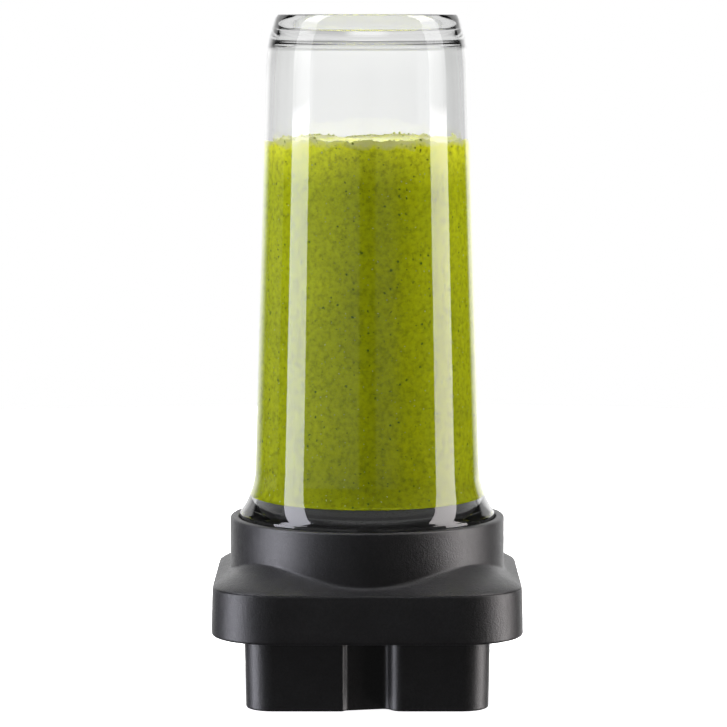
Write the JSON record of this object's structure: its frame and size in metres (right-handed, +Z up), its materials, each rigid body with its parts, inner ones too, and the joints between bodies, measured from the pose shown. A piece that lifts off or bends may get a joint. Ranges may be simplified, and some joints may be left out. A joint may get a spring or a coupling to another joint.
{
  "type": "personal blender cup on a blade base",
  "caption": "Clear tapered blending cup of green smoothie, screwed upside down into a black square-shouldered blade base with a lobed foot.",
  "frame": {"origin": "centre of the foot's lower edge, on the surface that the base stands on", "axes": "+Z up along the axis of the cup and the drive shaft; X and Y square to the sides of the base"},
  "size_m": [0.1034, 0.1034, 0.2287],
  "materials": {
    "clear_copolyester": "clear, polished, moulded",
    "green_smoothie": "wet, opaque, flecked with leaf and small bubbles",
    "black_moulding": "satin black with a fine spark-eroded grain",
    "black_nylon": "moulded glass-filled nylon",
    "black_rubber": "soft, matt",
    "stainless": "brushed stainless steel",
    "bearing_steel": "ground and polished",
    "spring_steel": "blued, lightly oiled",
    "screw_steel": "zinc plated",
    "turned_aluminium": "fine turned"
  },
  "bodies": {
    "base": {"collar_housing": "black_moulding", "foot_skirt": "black_moulding", "jar_gasket": "black_rubber", "bearing_housing": "turned_aluminium", "housing_o_ring": "black_rubber", "lip_seal": "black_rubber", "seal_spring": "stainless", "outer_spacer": "turned_aluminium", "circlip": "spring_steel", "skirt_screws": "screw_steel", "housing_screws": "screw_steel", "lower_bearing_outer_ring": "bearing_steel", "upper_bearing_outer_ring": "bearing_steel"},
    "contents": {"smoothie": "green_smoothie"},
    "cup": {"jar": "clear_copolyester"},
    "rotor": {"drive_shaft": "stainless", "inner_spacer": "turned_aluminium", "thrust_washer": "stainless", "hub_disc": "stainless", "lower_blade": "stainless", "blade_spacer": "stainless", "upper_blade": "stainless", "blade_washer": "stainless", "blade_nut": "stainless", "drive_coupling": "black_nylon", "lower_bearing_inner_ring": "bearing_steel", "upper_bearing_inner_ring": "bearing_steel"},
    "lower_ball_set": {"lower_bearing_balls": "bearing_steel", "lower_bearing_cage": "spring_steel"},
    "upper_ball_set": {"upper_bearing_balls": "bearing_steel", "upper_bearing_cage": "spring_steel"}
  },
  "joints": [
    {"name": "cup_rise", "type": "slide", "parent": "base", "child": "contents", "axis": [0, 0, 1], "range_m": [0, 0.01]},
    {"name": "cup_twist", "type": "hinge", "parent": "contents", "child": "cup", "pos_m": [0, 0, 0.05], "axis": [0, 0, 1], "range_deg": [0, 180]},
    {"name": "blade_spin", "type": "hinge", "parent": "base", "child": "rotor", "pos_m": [0, 0, 0.03], "axis": [0, 0, 1], "continuous": true},
    {"name": "lower_ball_orbit", "type": "hinge", "parent": "base", "child": "lower_ball_set", "pos_m": [0, 0, 0.019], "axis": [0, 0, 1], "continuous": true},
    {"name": "upper_ball_orbit", "type": "hinge", "parent": "base", "child": "upper_ball_set", "pos_m": [0, 0, 0.037], "axis": [0, 0, 1], "continuous": true}
  ],
  "couplings": [
    {"joint": "cup_rise", "follows": "cup_twist", "m_per_rad": 0.003183},
    {"joint": "lower_ball_orbit", "follows": "blade_spin", "ratio": 0.37},
    {"joint": "upper_ball_orbit", "follows": "blade_spin", "ratio": 0.37}
  ]
}
